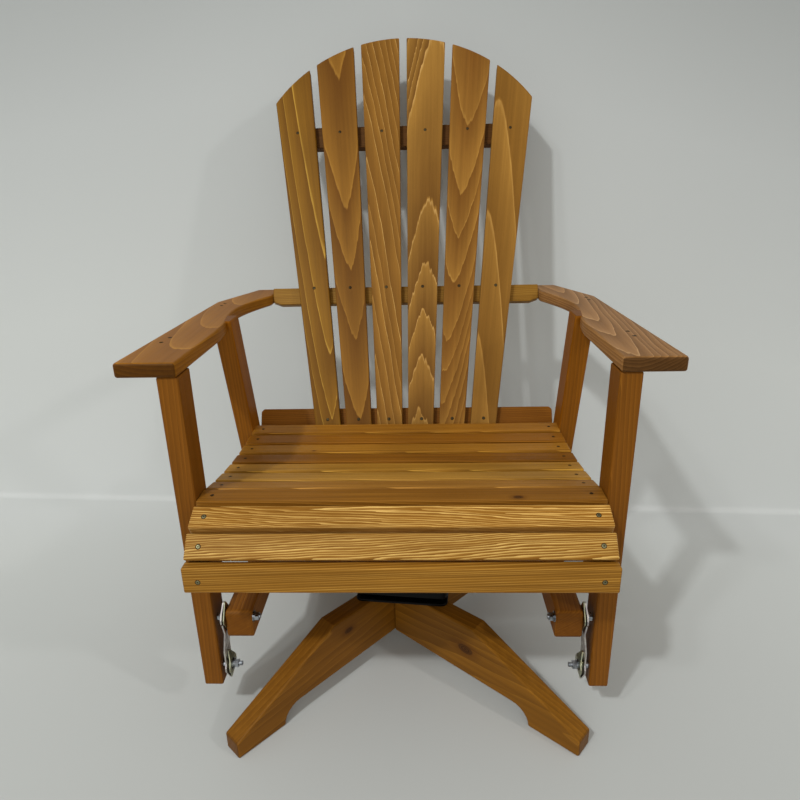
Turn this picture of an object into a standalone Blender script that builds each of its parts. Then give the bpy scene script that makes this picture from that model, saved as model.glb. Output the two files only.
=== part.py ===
"""A fan-back cedar armchair that glides on four hanging links and swivels on a pinwheel base.

Run it in Blender 4.5:  blender --background --python part.py
Metres, +Z up. The chair faces -Y, and its right-hand arm (the sitter's) is at -X.
While the chair is built, Y is measured from the front faces of the front legs and Z from the floor.
At the end everything hangs from one empty, which stands the chair centred over the world origin.

Bodies: the base stands on the floor; the glider frame turns on it about the swivel axis; four links
hang from the frame; the chair itself hangs from the links.
"""

import math

import bmesh
import bpy
from mathutils import Matrix, Vector

# Fits, shared by every piece
FIT = 0.0003                # gap left between pieces that touch
BORE_FIT = 0.0003           # a bore's radius over the radius of what passes through it
OVERRUN = 0.004             # how far a cutter runs past the face that it opens
TURN_SIDES = 16             # sides of a turned piece
HEX_SIDES = 6
WELD = 0.00002              # points closer than this are one point
FLAT = math.radians(0.2)    # faces that meet flatter than this are one face

# Finishes
PALE_CEDAR = (0.42, 0.20, 0.055)
PINK_CEDAR = (0.40, 0.21, 0.11)
PLAIN_CEDAR = (0.36, 0.17, 0.055)
DARK_CEDAR = (0.30, 0.13, 0.04)
CEDAR_ROUGHNESS = 0.45
ZINC = (0.62, 0.62, 0.58)
ZINC_ROUGHNESS = 0.32
ZINC_METALLIC = 1.0
BLACK_STEEL = (0.012, 0.012, 0.013)
BLACK_ROUGHNESS = 0.45
BLACK_METALLIC = 0.6        # share, because the steel is painted

# Stock
SLAT_WIDTH = 0.0385         # seat slats, apron
SLAT_THICK = 0.0195         # seat slats, apron, back slats
POST_WIDE = 0.033           # legs and seat sides, across the chair
POST_DEEP = 0.0515          # legs, front to back
RAIL_EASE = 0.0022          # rounded edges of slats and rails
POST_EASE = 0.003           # rounded edges of legs, arms and base
EASE_STEPS = 2
EASE_ANGLE = math.radians(35)       # edges blunter than this stay as they are

# Chair: legs and arms
LEGS_OUTER = 0.702          # outside to outside of a pair of legs
LEG_BOTTOM = 0.080          # legs end this far above the floor
ARM_UNDER = 0.648           # underside of the arms
ARM_THICK = 0.023
REAR_LEG_RAKE = math.radians(15.6)
REAR_LEG_FOOT_Y = 0.4335    # front edge of the rear leg at its bottom end

ARM_FRONT_OUTER_X = 0.412
ARM_BEND_X = 0.405
ARM_BEND_Y = 0.468          # where the outer edge turns inward
ARM_END_Y = 0.612
ARM_TIP_WIDE = 0.052        # width of the narrow rear end
ARM_WAIST_X = 0.344         # inner edge at the narrow waist
ARM_WAIST_START_Y = 0.245   # the inner edge leaves the leg's face here
ARM_WAIST_FRONT_Y = 0.362
ARM_WAIST_REAR_Y = 0.425
ARM_FRONT_Y = -0.005
ARM_CORNER = 0.012          # rounding of the two front corners in plan
CORNER_STEPS = 4
WAIST_STEPS = 6

# Chair: seat
SEAT_SLATS = 10
SEAT_ROLL_RADIUS = 0.1143   # tops of the front slats
SEAT_ROLL_Y = 0.0199        # centre of the roll
SEAT_ROLL_Z = 0.3326
SEAT_SCOOP_RADIUS = 1.09    # tops of the other slats
SEAT_JOIN_TILT = math.radians(-12.0)
SEAT_CREST_SLAT = 2         # index of the slat on the crest of the roll, counted from the front
SEAT_CREST_TILT = math.radians(2.3)
SEAT_PITCH = 0.0475         # slat to slat, along the curve of their tops
APRON_FACE_Y = -0.088
APRON_TOP = 0.3775
SIDE_BOTTOM_FRONT = 0.341   # lower edge of the seat sides
SIDE_BOTTOM_REAR = 0.345
ROLL_STEPS = 7
SCOOP_STEPS = 10

# Chair: back
RECLINE = math.radians(28.0)
BACK_Y = 0.392              # front face of the back slats at the height below
BACK_Z = 0.425
BACK_SLATS = 6
FAN_STEP = math.radians(2.65)
FAN_FOCUS = 1.448           # the slats' centre lines meet this far down the slope from BACK_Z
FAN_TAPER = 0.0407          # how much a slat widens for each metre
FAN_SLAT_WIDTH = 0.0545     # width of a slat at BACK_Z
ARCH_CENTRE = 0.5467        # up the slope from BACK_Z
ARCH_RADIUS = 0.3578
BACK_FOOT = -0.046          # lower ends of the slats
ARCH_STEPS = 7
HALVINGS = 60
TOP_RAIL_AT = 0.6675        # rails' centre lines, up the slope
TOP_RAIL_HALF = 0.245
TOP_RAIL_WIDE = 0.0515
ARM_RAIL_AT = 0.2832
ARM_RAIL_HALF = 0.298
ARM_RAIL_WIDE = 0.0385
ARM_RAIL_CLIP_LONG = 0.019  # clipped lower corners
ARM_RAIL_CLIP_HIGH = 0.007
SEAT_RAIL_AT = 0.0015
SEAT_RAIL_WIDE = 0.0505
SEAT_RAIL_THICK = 0.034
SEAT_RAIL_CLIP = 0.006      # clipped upper corners

# Glider frame
RAIL_OUTER_X = 0.300
RAIL_WIDE = 0.045
RAIL_BOTTOM = 0.178
RAIL_DEEP = 0.053
RAIL_NOSE = 0.012           # rail end to pivot
RAIL_CHAMFER = 0.0055
CROSS_WIDE = 0.034
CROSS_DEEP = 0.0515
CROSS_SPREAD = 0.060        # each cross member's centre from the swivel axis

# Links: a bar that hangs beside its rail, bows out round the upper race and slants out to the leg
FRONT_PIVOT_Y = 0.0155
TOP_PIVOT_Z = 0.215
LINK_LENGTH = 0.101         # pivot to pivot
LINK_BAR_WIDE = 0.029
LINK_BAR_THICK = 0.0025
LINK_TOP_X = 0.3045         # inner face of the bar at the upper pivot
LINK_NECK_X = 0.3023        # at its upper tip and at its neck
LINK_LOW_X = 0.3075         # at the lower pivot
LINK_NECK_DROP = 0.026      # neck below the upper pivot
LINK_LOW_RISE = 0.036       # the bar is upright from here down, above the lower pivot
FLANGE_LONG = 0.064         # rhombic ends and bearing plates, tip to tip
FLANGE_WIDE = 0.042
FLANGE_TIP = 0.0035         # how much of each tip is cut off blunt
FLANGE_LEVEL = 0.0115       # a dished plate is level this far above and below its pivot
BEARING_PLATE = 0.0016
LOW_PLATE_X = 0.3010        # inner face of the lower bearing's dished plate
CUP_RADIUS = 0.0105         # the ball race between bar and plate
CUP_RIM = 0.0092
CUP_ROUND = 0.0012          # how far down the cup's side its rounded rim reaches

# Pivot bolts
BOLT_RADIUS = 0.004
HEX_FLATS = 0.0127          # across the flats of heads and nuts
HEX_HEAD = 0.0055
NUT_HIGH = 0.0065
WASHER_RADIUS = 0.0095
WASHER_THICK = 0.0014
SPRING_RADIUS = 0.0075      # the spring washer on top of the flat one
SPRING_THICK = 0.0018
TOP_TAIL = 0.0025           # thread showing beyond the nut
BOTTOM_TAIL = 0.0065
DOME_RADIUS = 0.009         # round head on the outside of a leg
DOME_HIGH = 0.0035
DOME_STEPS = 4
COLLAR_RADIUS = 0.0072      # spacer between leg and link

# Swivel
SWIVEL_Y = 0.2215
PLATE_WIDE = 0.178
PLATE_DEEP = 0.160
PLATE_CORNER = 0.012
PLATE_EASE = 0.0012
PLATE_TURN = math.radians(-6.0)     # the plates are screwed on slightly askew
LOWER_PLATE_THICK = 0.005
UPPER_PLATE_WALL = 0.0035
UPPER_PLATE_LIP = 0.0205    # how far its rim turns down
RACE_OUTER = 0.064
RACE_INNER = 0.046

# Base
BASE_LEGS = 4
BASE_TURN = math.radians(3.8)       # how far the legs are turned from the diagonals
BASE_SPREAD = math.radians(2.4)     # how much wider than square the front pair stands, and the rear pair
BASE_FIRST = math.radians(225)      # the diagonal of the front left leg
BASE_THICK = 0.038
BASE_TOP = 0.140
BASE_REACH = 0.4100         # swivel axis to toe
BASE_FLAT = 0.192           # the level top runs this far out
BASE_TOE_HIGH = 0.0315
BASE_PAD_INNER = 0.3135     # the foot pad runs from here to the toe
BASE_COVE_INNER = 0.278
BASE_UNDER_OUT = 0.0325     # underside at the cove
BASE_UNDER_IN = 0.037       # underside at the swivel axis
COVE_STEPS = 6

# Worked out from the sizes above
LEG_INNER_X = LEGS_OUTER / 2 - POST_WIDE
REAR_LEG_CUT = POST_DEEP / math.cos(REAR_LEG_RAKE)     # the raked leg measured level
BOTTOM_PIVOT_Z = TOP_PIVOT_Z - LINK_LENGTH
REAR_PIVOT_Y = (REAR_LEG_FOOT_Y + REAR_LEG_CUT / 2
                - (BOTTOM_PIVOT_Z - LEG_BOTTOM) * math.tan(REAR_LEG_RAKE))
RAIL_INNER_X = RAIL_OUTER_X - RAIL_WIDE
RAIL_FRONT_Y = FRONT_PIVOT_Y - RAIL_NOSE
RAIL_REAR_Y = REAR_PIVOT_Y + RAIL_NOSE
SLAT_HALF = LEG_INNER_X - FIT
HEX_RADIUS = HEX_FLATS / 2 / math.cos(math.pi / HEX_SIDES)
STACK_HIGH = WASHER_THICK + SPRING_THICK + NUT_HIGH
BACK_SLOPE = Vector((0.0, math.sin(RECLINE), math.cos(RECLINE)))       # up the back
BACK_REARWARD = Vector((0.0, math.cos(RECLINE), -math.sin(RECLINE)))   # square to it
BACK_ORIGIN = Vector((0.0, BACK_Y, BACK_Z))
LOWER_PLATE_Z = BASE_TOP + FIT
UPPER_PLATE_TOP = RAIL_BOTTOM - FIT
SIDES = ((-1, "left"), (1, "right"))
ENDS = (("front", FRONT_PIVOT_Y), ("rear", REAR_PIVOT_Y))


# Scene and helpers
def clear_scene():
    for obj in list(bpy.data.objects):
        bpy.data.objects.remove(obj, do_unlink=True)


def new_collection(name, hidden=False):
    made = bpy.data.collections.new(name)
    bpy.context.scene.collection.children.link(made)
    made.hide_render = hidden
    return made


def material(name, colour, roughness, metallic=0.0):
    made = bpy.data.materials.get(name) or bpy.data.materials.new(name)
    made.use_nodes = True
    shader = made.node_tree.nodes["Principled BSDF"]
    shader.inputs["Base Color"].default_value = (*colour, 1.0)
    shader.inputs["Roughness"].default_value = roughness
    shader.inputs["Metallic"].default_value = metallic
    made.diffuse_color = (*colour, 1.0)
    return made


def cedar(name, colour=PLAIN_CEDAR):
    return material(f"cedar_{name}", colour, CEDAR_ROUGHNESS)


def zinc(name):
    return material(f"zinc_{name}", ZINC, ZINC_ROUGHNESS, ZINC_METALLIC)


def black_steel(name):
    return material(f"black_steel_{name}", BLACK_STEEL, BLACK_ROUGHNESS, BLACK_METALLIC)


def frame_of(origin, first, second, third):
    """The placement whose local X, Y and Z run along the three given directions."""
    turn = Matrix((first, second, third)).transposed().to_4x4()
    return Matrix.Translation(origin) @ turn


def side_frame(inner_x, side, thickness):
    """Outlines drawn in (Y, Z) for a board whose face nearest the chair's middle is at inner_x."""
    x = inner_x if side > 0 else -(inner_x + thickness)
    return frame_of((x, 0, 0), (0, 1, 0), (0, 0, 1), (1, 0, 0))


def outward(side):
    """Local Z runs away from the chair's middle, local X toward the chair's rear."""
    return frame_of((0, 0, 0), (0, 1, 0), (0, 0, side), (side, 0, 0))


def at_side(side, x, y, z):
    """The place of something drawn along local Z, outward from a point given for the +X side."""
    return Matrix.Translation((side * x, y, z)) @ outward(side)


def back_frame(rearward):
    """Outlines drawn in (X, up the slope), thickness running rearward from the given depth."""
    origin = BACK_ORIGIN + BACK_REARWARD * rearward
    return frame_of(origin, (1, 0, 0), BACK_SLOPE, BACK_REARWARD)


def empty(name, at, parent=None):
    made = bpy.data.objects.new(name, None)
    made.empty_display_size = POST_DEEP
    bpy.context.scene.collection.objects.link(made)
    made["stands_at"] = Vector(at)
    made.location = Vector(at)
    if parent is not None:
        made.parent = parent
        made.location = Vector(at) - Vector(parent["stands_at"])
    return made


def place(obj, matrix, parent):
    obj.matrix_world = matrix
    if parent is not None:
        obj.parent = parent
        obj.matrix_parent_inverse = Matrix.Translation(-Vector(parent["stands_at"]))


def finished_object(name, bm, collection):
    """Makes an object of a bmesh, with its faces turned outward."""
    bmesh.ops.recalc_face_normals(bm, faces=bm.faces)
    mesh = bpy.data.meshes.new(name)
    bm.to_mesh(mesh)
    bm.free()
    obj = bpy.data.objects.new(name, mesh)
    collection.objects.link(obj)
    return obj


def drawn_solid(name, outline, thickness, collection):
    """A flat outline drawn as a filled 2D curve and extruded along local Z from zero, as a mesh."""
    curve = bpy.data.curves.new(name, "CURVE")
    curve.dimensions = "2D"
    curve.fill_mode = "BOTH"
    curve.extrude = thickness / 2
    spline = curve.splines.new("POLY")
    spline.points.add(len(outline) - 1)
    spline.use_cyclic_u = True
    for point, (a, b) in zip(spline.points, outline):
        point.co = (a, b, 0.0, 1.0)
    drawing = bpy.data.objects.new("drawing", curve)
    collection.objects.link(drawing)
    shown = drawing.evaluated_get(bpy.context.evaluated_depsgraph_get())
    mesh = bpy.data.meshes.new_from_object(shown)
    bpy.data.objects.remove(drawing, do_unlink=True)
    bm = bmesh.new()
    bm.from_mesh(mesh)
    bpy.data.meshes.remove(mesh)
    bmesh.ops.translate(bm, verts=bm.verts, vec=(0.0, 0.0, thickness / 2))
    bmesh.ops.remove_doubles(bm, verts=bm.verts, dist=WELD)
    bmesh.ops.dissolve_limit(bm, angle_limit=FLAT, verts=bm.verts, edges=bm.edges)
    return finished_object(name, bm, collection)


def ease_edges(obj, width, steps):
    bevel = obj.modifiers.new("eased edges", "BEVEL")
    bevel.width = width
    bevel.segments = steps
    bevel.limit_method = "ANGLE"
    bevel.angle_limit = EASE_ANGLE


def board(name, outline, thickness, matrix, finish, parent, ease=POST_EASE, steps=EASE_STEPS):
    """A piece sawn from a plank or a plate: an outline in local XY with thickness along local Z."""
    obj = drawn_solid(name, outline, thickness, CHAIR)
    obj.data.materials.append(finish)
    place(obj, matrix, parent)
    if ease:
        ease_edges(obj, ease, steps)
    return obj


def stick(name, size, matrix, finish, parent, ease=RAIL_EASE, steps=EASE_STEPS):
    """A straight square-ended stick, centred on its own origin."""
    bm = bmesh.new()
    bmesh.ops.create_cube(bm, size=1.0)
    bmesh.ops.scale(bm, vec=size, verts=bm.verts)
    obj = finished_object(name, bm, CHAIR)
    obj.data.materials.append(finish)
    place(obj, matrix, parent)
    ease_edges(obj, ease, steps)
    return obj


def rod(name, radius, low, high, matrix, parent, sides=TURN_SIDES, collection=None):
    """A round or many-sided rod along local Z, from low to high; radius is that of its corners."""
    bm = bmesh.new()
    bmesh.ops.create_cone(bm, cap_ends=True, segments=sides, radius1=radius, radius2=radius,
                          depth=high - low)
    bmesh.ops.translate(bm, verts=bm.verts, vec=(0.0, 0.0, (low + high) / 2))
    obj = finished_object(name, bm, collection or CHAIR)
    place(obj, matrix, parent)
    return obj


def turned(name, profile, matrix, finish, parent, closed=False, sides=TURN_SIDES, collection=None):
    """A profile of (radius, height) points, top to bottom down its outer side, spun about local Z."""
    bm = bmesh.new()
    points = [bm.verts.new((radius, 0.0, height)) for radius, height in profile]
    for a, b in zip(points, points[1:]):
        bm.edges.new((a, b))
    if closed:
        bm.edges.new((points[-1], points[0]))
    mesh = bpy.data.meshes.new(name)
    bm.to_mesh(mesh)
    bm.free()
    obj = bpy.data.objects.new(name, mesh)
    (collection or CHAIR).objects.link(obj)
    if finish is not None:
        obj.data.materials.append(finish)
    place(obj, matrix, parent)
    spin = obj.modifiers.new("spin", "SCREW")
    spin.steps = sides
    spin.render_steps = sides
    spin.use_merge_vertices = True
    spin.merge_threshold = WELD
    return obj


def combine(obj, tool, operation):
    """Fuses a tool with obj or cuts it out; the tool stays in the hidden collection."""
    tool.display_type = "WIRE"
    tool.hide_render = True
    step = obj.modifiers.new(operation.lower(), "BOOLEAN")
    step.operation = operation
    step.solver = "EXACT"
    step.object = tool


def bore(obj, radius, matrix, low, high):
    """Cuts a round hole through obj, past both of the faces that it opens."""
    tool = rod(f"cut_{obj.name}_{len(TOOLS.objects)}", radius, low - OVERRUN, high + OVERRUN, matrix,
               obj.parent, collection=TOOLS)
    combine(obj, tool, "DIFFERENCE")


def fuse_rod(obj, radius, low, high, matrix, sides=TURN_SIDES):
    tool = rod(f"add_{obj.name}_{len(TOOLS.objects)}", radius, low, high, matrix, obj.parent, sides,
               TOOLS)
    combine(obj, tool, "UNION")


# Base: four boards on edge, each butted against the next like a pinwheel
def base_leg_outline(start):
    """Half a beam in side view: level top, straight slope to the toe, foot pad, cove, underside."""
    cove_long = BASE_PAD_INNER - BASE_COVE_INNER
    cove = []
    for i in range(COVE_STEPS + 1):
        angle = i / COVE_STEPS * math.pi / 2
        cove.append((BASE_COVE_INNER + cove_long * math.cos(angle), BASE_UNDER_OUT * math.sin(angle)))
    toe = [(BASE_REACH, 0.0), (BASE_REACH, BASE_TOE_HIGH), (BASE_FLAT, BASE_TOP)]
    return [(start, BASE_TOP), (start, BASE_UNDER_IN)] + cove[::-1] + toe


def build_base():
    for i, name in enumerate(("front_left", "front_right", "rear_right", "rear_left")):
        spread = BASE_SPREAD / 2 * (-1 if i % 2 == 0 else 1)
        angle = BASE_FIRST + BASE_TURN + spread + i * math.tau / BASE_LEGS
        along = Vector((math.cos(angle), math.sin(angle), 0.0))
        aside = Vector((math.sin(angle), -math.cos(angle), 0.0))
        start = FIT if spread > 0 else FIT + BASE_THICK * math.tan(BASE_SPREAD)
        board(f"base_leg_{name}", base_leg_outline(start), BASE_THICK - FIT,
              frame_of((0.0, SWIVEL_Y, 0.0), along, (0, 0, 1), aside), cedar(f"base_{name}"), ROOT)
    board("swivel_lower_plate", rounded_rectangle(PLATE_WIDE, PLATE_DEEP, PLATE_CORNER),
          LOWER_PLATE_THICK, plate_frame(LOWER_PLATE_Z), black_steel("lower"), ROOT, PLATE_EASE, 1)
    low = LOWER_PLATE_THICK + FIT
    high = UPPER_PLATE_TOP - UPPER_PLATE_WALL - FIT - LOWER_PLATE_Z
    profile = [(RACE_OUTER, high), (RACE_OUTER, low), (RACE_INNER, low), (RACE_INNER, high)]
    turned("swivel_race", profile, plate_frame(LOWER_PLATE_Z), black_steel("race"), ROOT,
           closed=True, sides=2 * TURN_SIDES)


def plate_frame(height):
    return Matrix.Translation((0.0, SWIVEL_Y, height)) @ Matrix.Rotation(PLATE_TURN, 4, "Z")


def arc(centre, radius, start, end, steps):
    """Points on a circle, between two angles in degrees."""
    turns = [math.radians(start + (end - start) * i / steps) for i in range(steps + 1)]
    return [(centre[0] + radius * math.cos(t), centre[1] + radius * math.sin(t)) for t in turns]


def rounded_rectangle(wide, deep, radius):
    x = wide / 2 - radius
    y = deep / 2 - radius
    corners = ((x, y, 0), (-x, y, 90), (-x, -y, 180), (x, -y, 270))
    return [point for a, b, start in corners
            for point in arc((a, b), radius, start, start + 90, CORNER_STEPS)]


# Glider frame: pressed plate, two cross members, two rails, four pivot bolts
def build_upper_plate(parent):
    """A pressed plate with its rim turned down over the race."""
    plate = board("swivel_upper_plate", rounded_rectangle(PLATE_WIDE, PLATE_DEEP, PLATE_CORNER),
                  UPPER_PLATE_LIP, plate_frame(UPPER_PLATE_TOP - UPPER_PLATE_LIP),
                  black_steel("upper"), parent, PLATE_EASE)
    hollow = drawn_solid("cut_swivel_upper_plate",
                         rounded_rectangle(PLATE_WIDE - 2 * UPPER_PLATE_WALL,
                                           PLATE_DEEP - 2 * UPPER_PLATE_WALL,
                                           PLATE_CORNER - UPPER_PLATE_WALL),
                         UPPER_PLATE_LIP - UPPER_PLATE_WALL + OVERRUN, TOOLS)
    place(hollow, plate_frame(UPPER_PLATE_TOP - UPPER_PLATE_LIP - OVERRUN), parent)
    combine(plate, hollow, "DIFFERENCE")


def rail_outline():
    """Side view of a glider rail, with its four end corners chamfered."""
    c = RAIL_CHAMFER
    top = RAIL_BOTTOM + RAIL_DEEP
    front = [(RAIL_FRONT_Y + c, top), (RAIL_FRONT_Y, top - c),
             (RAIL_FRONT_Y, RAIL_BOTTOM + c), (RAIL_FRONT_Y + c, RAIL_BOTTOM)]
    rear = [(RAIL_REAR_Y - c, RAIL_BOTTOM), (RAIL_REAR_Y, RAIL_BOTTOM + c),
            (RAIL_REAR_Y, top - c), (RAIL_REAR_Y - c, top)]
    return front + rear


def build_glider_frame(parent):
    build_upper_plate(parent)
    for side, word in SIDES:
        rail = board(f"glider_rail_{word}", rail_outline(), RAIL_WIDE,
                     side_frame(RAIL_INNER_X, side, RAIL_WIDE), cedar(f"rail_{word}"), parent)
        for pivot_y in (FRONT_PIVOT_Y, REAR_PIVOT_Y):
            bore(rail, BOLT_RADIUS + BORE_FIT, at_side(side, RAIL_INNER_X, pivot_y, TOP_PIVOT_Z),
                 0.0, RAIL_WIDE)
    for where, word in ((-CROSS_SPREAD, "front"), (CROSS_SPREAD, "rear")):
        middle = (0.0, SWIVEL_Y + where, RAIL_BOTTOM + CROSS_DEEP / 2)
        stick(f"cross_member_{word}", (2 * (RAIL_INNER_X - FIT), CROSS_WIDE, CROSS_DEEP),
              Matrix.Translation(middle), cedar(f"cross_{word}"), parent)


# Pivot bolts: each is one piece with its washer and nut
def add_stack(bolt, seat, way, hex_high, matrix):
    """Two washers and a nut or head on a bolt, their bearing face at seat; way is -1 or 1 along it."""
    spring = seat + way * WASHER_THICK
    nut = spring + way * SPRING_THICK
    for radius, low, high, sides in ((WASHER_RADIUS, seat, spring, TURN_SIDES),
                                     (SPRING_RADIUS, spring - way * WASHER_THICK / 2, nut, TURN_SIDES),
                                     (HEX_RADIUS, nut - way * SPRING_THICK / 2, nut + way * hex_high,
                                      HEX_SIDES)):
        fuse_rod(bolt, radius, min(low, high), max(low, high), matrix, sides)


def build_top_bolt(side, word, pivot_y, parent):
    """Hex head outside the link, washers and nut on the rail's inner face."""
    matrix = at_side(side, RAIL_INNER_X, pivot_y, TOP_PIVOT_Z)
    head = LINK_TOP_X + LINK_BAR_THICK + FIT - RAIL_INNER_X
    bolt = rod(f"top_pivot_{word}", BOLT_RADIUS, -FIT - STACK_HIGH - TOP_TAIL, head + WASHER_THICK / 2,
               matrix, parent)
    bolt.data.materials.append(zinc(bolt.name))
    add_stack(bolt, head, 1, HEX_HEAD, matrix)
    add_stack(bolt, -FIT, -1, NUT_HIGH, matrix)


def build_bottom_bolt(side, word, pivot_y, parent):
    """Round head outside the leg, collar between leg and link, washers and nut inside the bearing."""
    matrix = at_side(side, LEG_INNER_X, pivot_y, BOTTOM_PIVOT_Z)
    seat = LOW_PLATE_X - FIT - LEG_INNER_X
    collar = LINK_LOW_X + LINK_BAR_THICK + FIT - LEG_INNER_X
    head = POST_WIDE + FIT
    bolt = rod(f"bottom_pivot_{word}", BOLT_RADIUS, seat - STACK_HIGH - BOTTOM_TAIL, head + DOME_HIGH / 2,
               matrix, parent)
    bolt.data.materials.append(zinc(bolt.name))
    add_stack(bolt, seat, -1, NUT_HIGH, matrix)
    fuse_rod(bolt, COLLAR_RADIUS, collar, -FIT, matrix)
    dome = [(DOME_RADIUS * math.cos(t), head + DOME_HIGH * math.sin(t))
            for t in (math.pi / 2 * i / DOME_STEPS for i in range(DOME_STEPS, -1, -1))]
    cap = turned(f"add_{bolt.name}_dome", dome + [(0.0, head)], matrix, None, parent, collection=TOOLS)
    combine(bolt, cap, "UNION")


# Links
def rhombus():
    """The bearing's flange, standing on its long axis, its four corners blunted."""
    long = FLANGE_LONG / 2
    wide = FLANGE_WIDE / 2
    cut = FLANGE_TIP * wide / long
    upper = [(wide - cut, FLANGE_TIP), (cut, long - FLANGE_TIP),
             (-cut, long - FLANGE_TIP), (-wide + cut, FLANGE_TIP)]
    return upper + [(-a, -b) for a, b in upper]


def link_outline():
    """A flat bar that widens to a rhombus round each pivot; the top pivot is at the origin."""
    long = FLANGE_LONG / 2
    wide = FLANGE_WIDE / 2
    bar = LINK_BAR_WIDE / 2
    cut = FLANGE_TIP * wide / long
    neck = long * (1 - bar / wide)
    right = [(cut, long - FLANGE_TIP), (wide - cut, FLANGE_TIP), (wide - cut, -FLANGE_TIP),
             (bar, -neck)]
    right += [(a, -LINK_LENGTH - b) for a, b in right[::-1]]
    return right + [(-a, b) for a, b in right[::-1]]


def pressed(name, outline, path, thickness, side, pivot_y, pivot_z, finish, parent):
    """A bent plate. path is its inner face from the front, (X, Z) for the +X side; outline is its shape
    from the side, (Y, Z) from the pivot."""
    wide = FLANGE_WIDE + 2 * OVERRUN
    plate = drawn_solid(name, path + [(x + thickness, z) for x, z in path[::-1]], wide, CHAIR)
    plate.data.materials.append(finish)
    place(plate, frame_of((0.0, pivot_y + side * wide / 2, 0.0), (side, 0, 0), (0, 0, 1), (0, -side, 0)),
          parent)
    near = min(x for x, _ in path) - OVERRUN
    deep = max(x for x, _ in path) + thickness + OVERRUN - near
    shape = drawn_solid(f"shape_{name}", outline, deep, TOOLS)
    place(shape, side_frame(near, side, deep) @ Matrix.Translation((pivot_y, pivot_z, 0.0)), parent)
    combine(plate, shape, "INTERSECT")
    return plate


def dished_path(middle_x, tip_x, pivot_z):
    """The inner face of a bearing plate: level round the pivot, its tips at tip_x."""
    reach = FLANGE_LONG / 2
    return [(tip_x, pivot_z + reach + OVERRUN), (tip_x, pivot_z + reach - OVERRUN),
            (middle_x, pivot_z + FLANGE_LEVEL), (middle_x, pivot_z - FLANGE_LEVEL),
            (tip_x, pivot_z - reach + OVERRUN), (tip_x, pivot_z - reach - OVERRUN)]


def link_path():
    """The inner face of a link's bar, from its upper tip down."""
    reach = FLANGE_LONG / 2
    return [(LINK_NECK_X, TOP_PIVOT_Z + reach + OVERRUN), (LINK_NECK_X, TOP_PIVOT_Z + reach - OVERRUN),
            (LINK_TOP_X, TOP_PIVOT_Z + FLANGE_LEVEL), (LINK_TOP_X, TOP_PIVOT_Z - FLANGE_LEVEL),
            (LINK_NECK_X, TOP_PIVOT_Z - LINK_NECK_DROP), (LINK_LOW_X, BOTTOM_PIVOT_Z + LINK_LOW_RISE),
            (LINK_LOW_X, BOTTOM_PIVOT_Z - reach - OVERRUN)]


def build_bearing(name, side, pivot_y, pivot_z, plate_x, tip_x, bar_x, parent):
    """A rhombic plate with a ball race on it, which fills the room between the plate and the bar."""
    bearing = pressed(name, rhombus(), dished_path(plate_x, tip_x, pivot_z), BEARING_PLATE, side, pivot_y,
                      pivot_z, zinc(name), parent)
    seat = at_side(side, bar_x - FIT, pivot_y, pivot_z)
    depth = bar_x - FIT - plate_x
    inside = BEARING_PLATE / 2 - depth
    profile = [(0.0, 0.0), (CUP_RIM, 0.0), (CUP_RADIUS, -CUP_ROUND), (CUP_RADIUS, inside), (0.0, inside)]
    race = turned(f"add_{name}_race", profile, seat, None, parent, collection=TOOLS)
    combine(bearing, race, "UNION")
    bore(bearing, BOLT_RADIUS + BORE_FIT, seat, -depth, 0.0)


def build_link(side, word, pivot_y, parent):
    link = pressed(f"link_{word}", link_outline(), link_path(), LINK_BAR_THICK, side, pivot_y, TOP_PIVOT_Z,
                   zinc(f"link_{word}"), parent)
    beside_rail = RAIL_OUTER_X + FIT
    for end, pivot_z, bar_x, plate_x, tip_x in (
            ("top", TOP_PIVOT_Z, LINK_TOP_X, beside_rail, beside_rail),
            ("bottom", BOTTOM_PIVOT_Z, LINK_LOW_X, LOW_PLATE_X, LINK_LOW_X - FIT - BEARING_PLATE)):
        bore(link, BOLT_RADIUS + BORE_FIT, at_side(side, bar_x, pivot_y, pivot_z), 0.0, LINK_BAR_THICK)
        build_bearing(f"{end}_bearing_{word}", side, pivot_y, pivot_z, plate_x, tip_x, bar_x, parent)


# Chair: legs and arms
def leg_outline(foot_y, deep, rake):
    """Side view of a leg; a raked one leans forward as it rises, its ends cut level."""
    top = ARM_UNDER - FIT
    lean = (top - LEG_BOTTOM) * math.tan(rake)
    return [(foot_y, LEG_BOTTOM), (foot_y + deep, LEG_BOTTOM), (foot_y + deep - lean, top),
            (foot_y - lean, top)]


def build_legs(parent):
    shapes = (("front", leg_outline(0.0, POST_DEEP, 0.0), FRONT_PIVOT_Y),
              ("rear", leg_outline(REAR_LEG_FOOT_Y, REAR_LEG_CUT, REAR_LEG_RAKE), REAR_PIVOT_Y))
    for side, word in SIDES:
        for end, outline, pivot_y in shapes:
            leg = board(f"leg_{end}_{word}", outline, POST_WIDE,
                        side_frame(LEG_INNER_X, side, POST_WIDE), cedar(f"leg_{end}_{word}", DARK_CEDAR),
                        parent)
            bore(leg, BOLT_RADIUS + BORE_FIT, at_side(side, LEG_INNER_X, pivot_y, BOTTOM_PIVOT_Z),
                 0.0, POST_WIDE)


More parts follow.
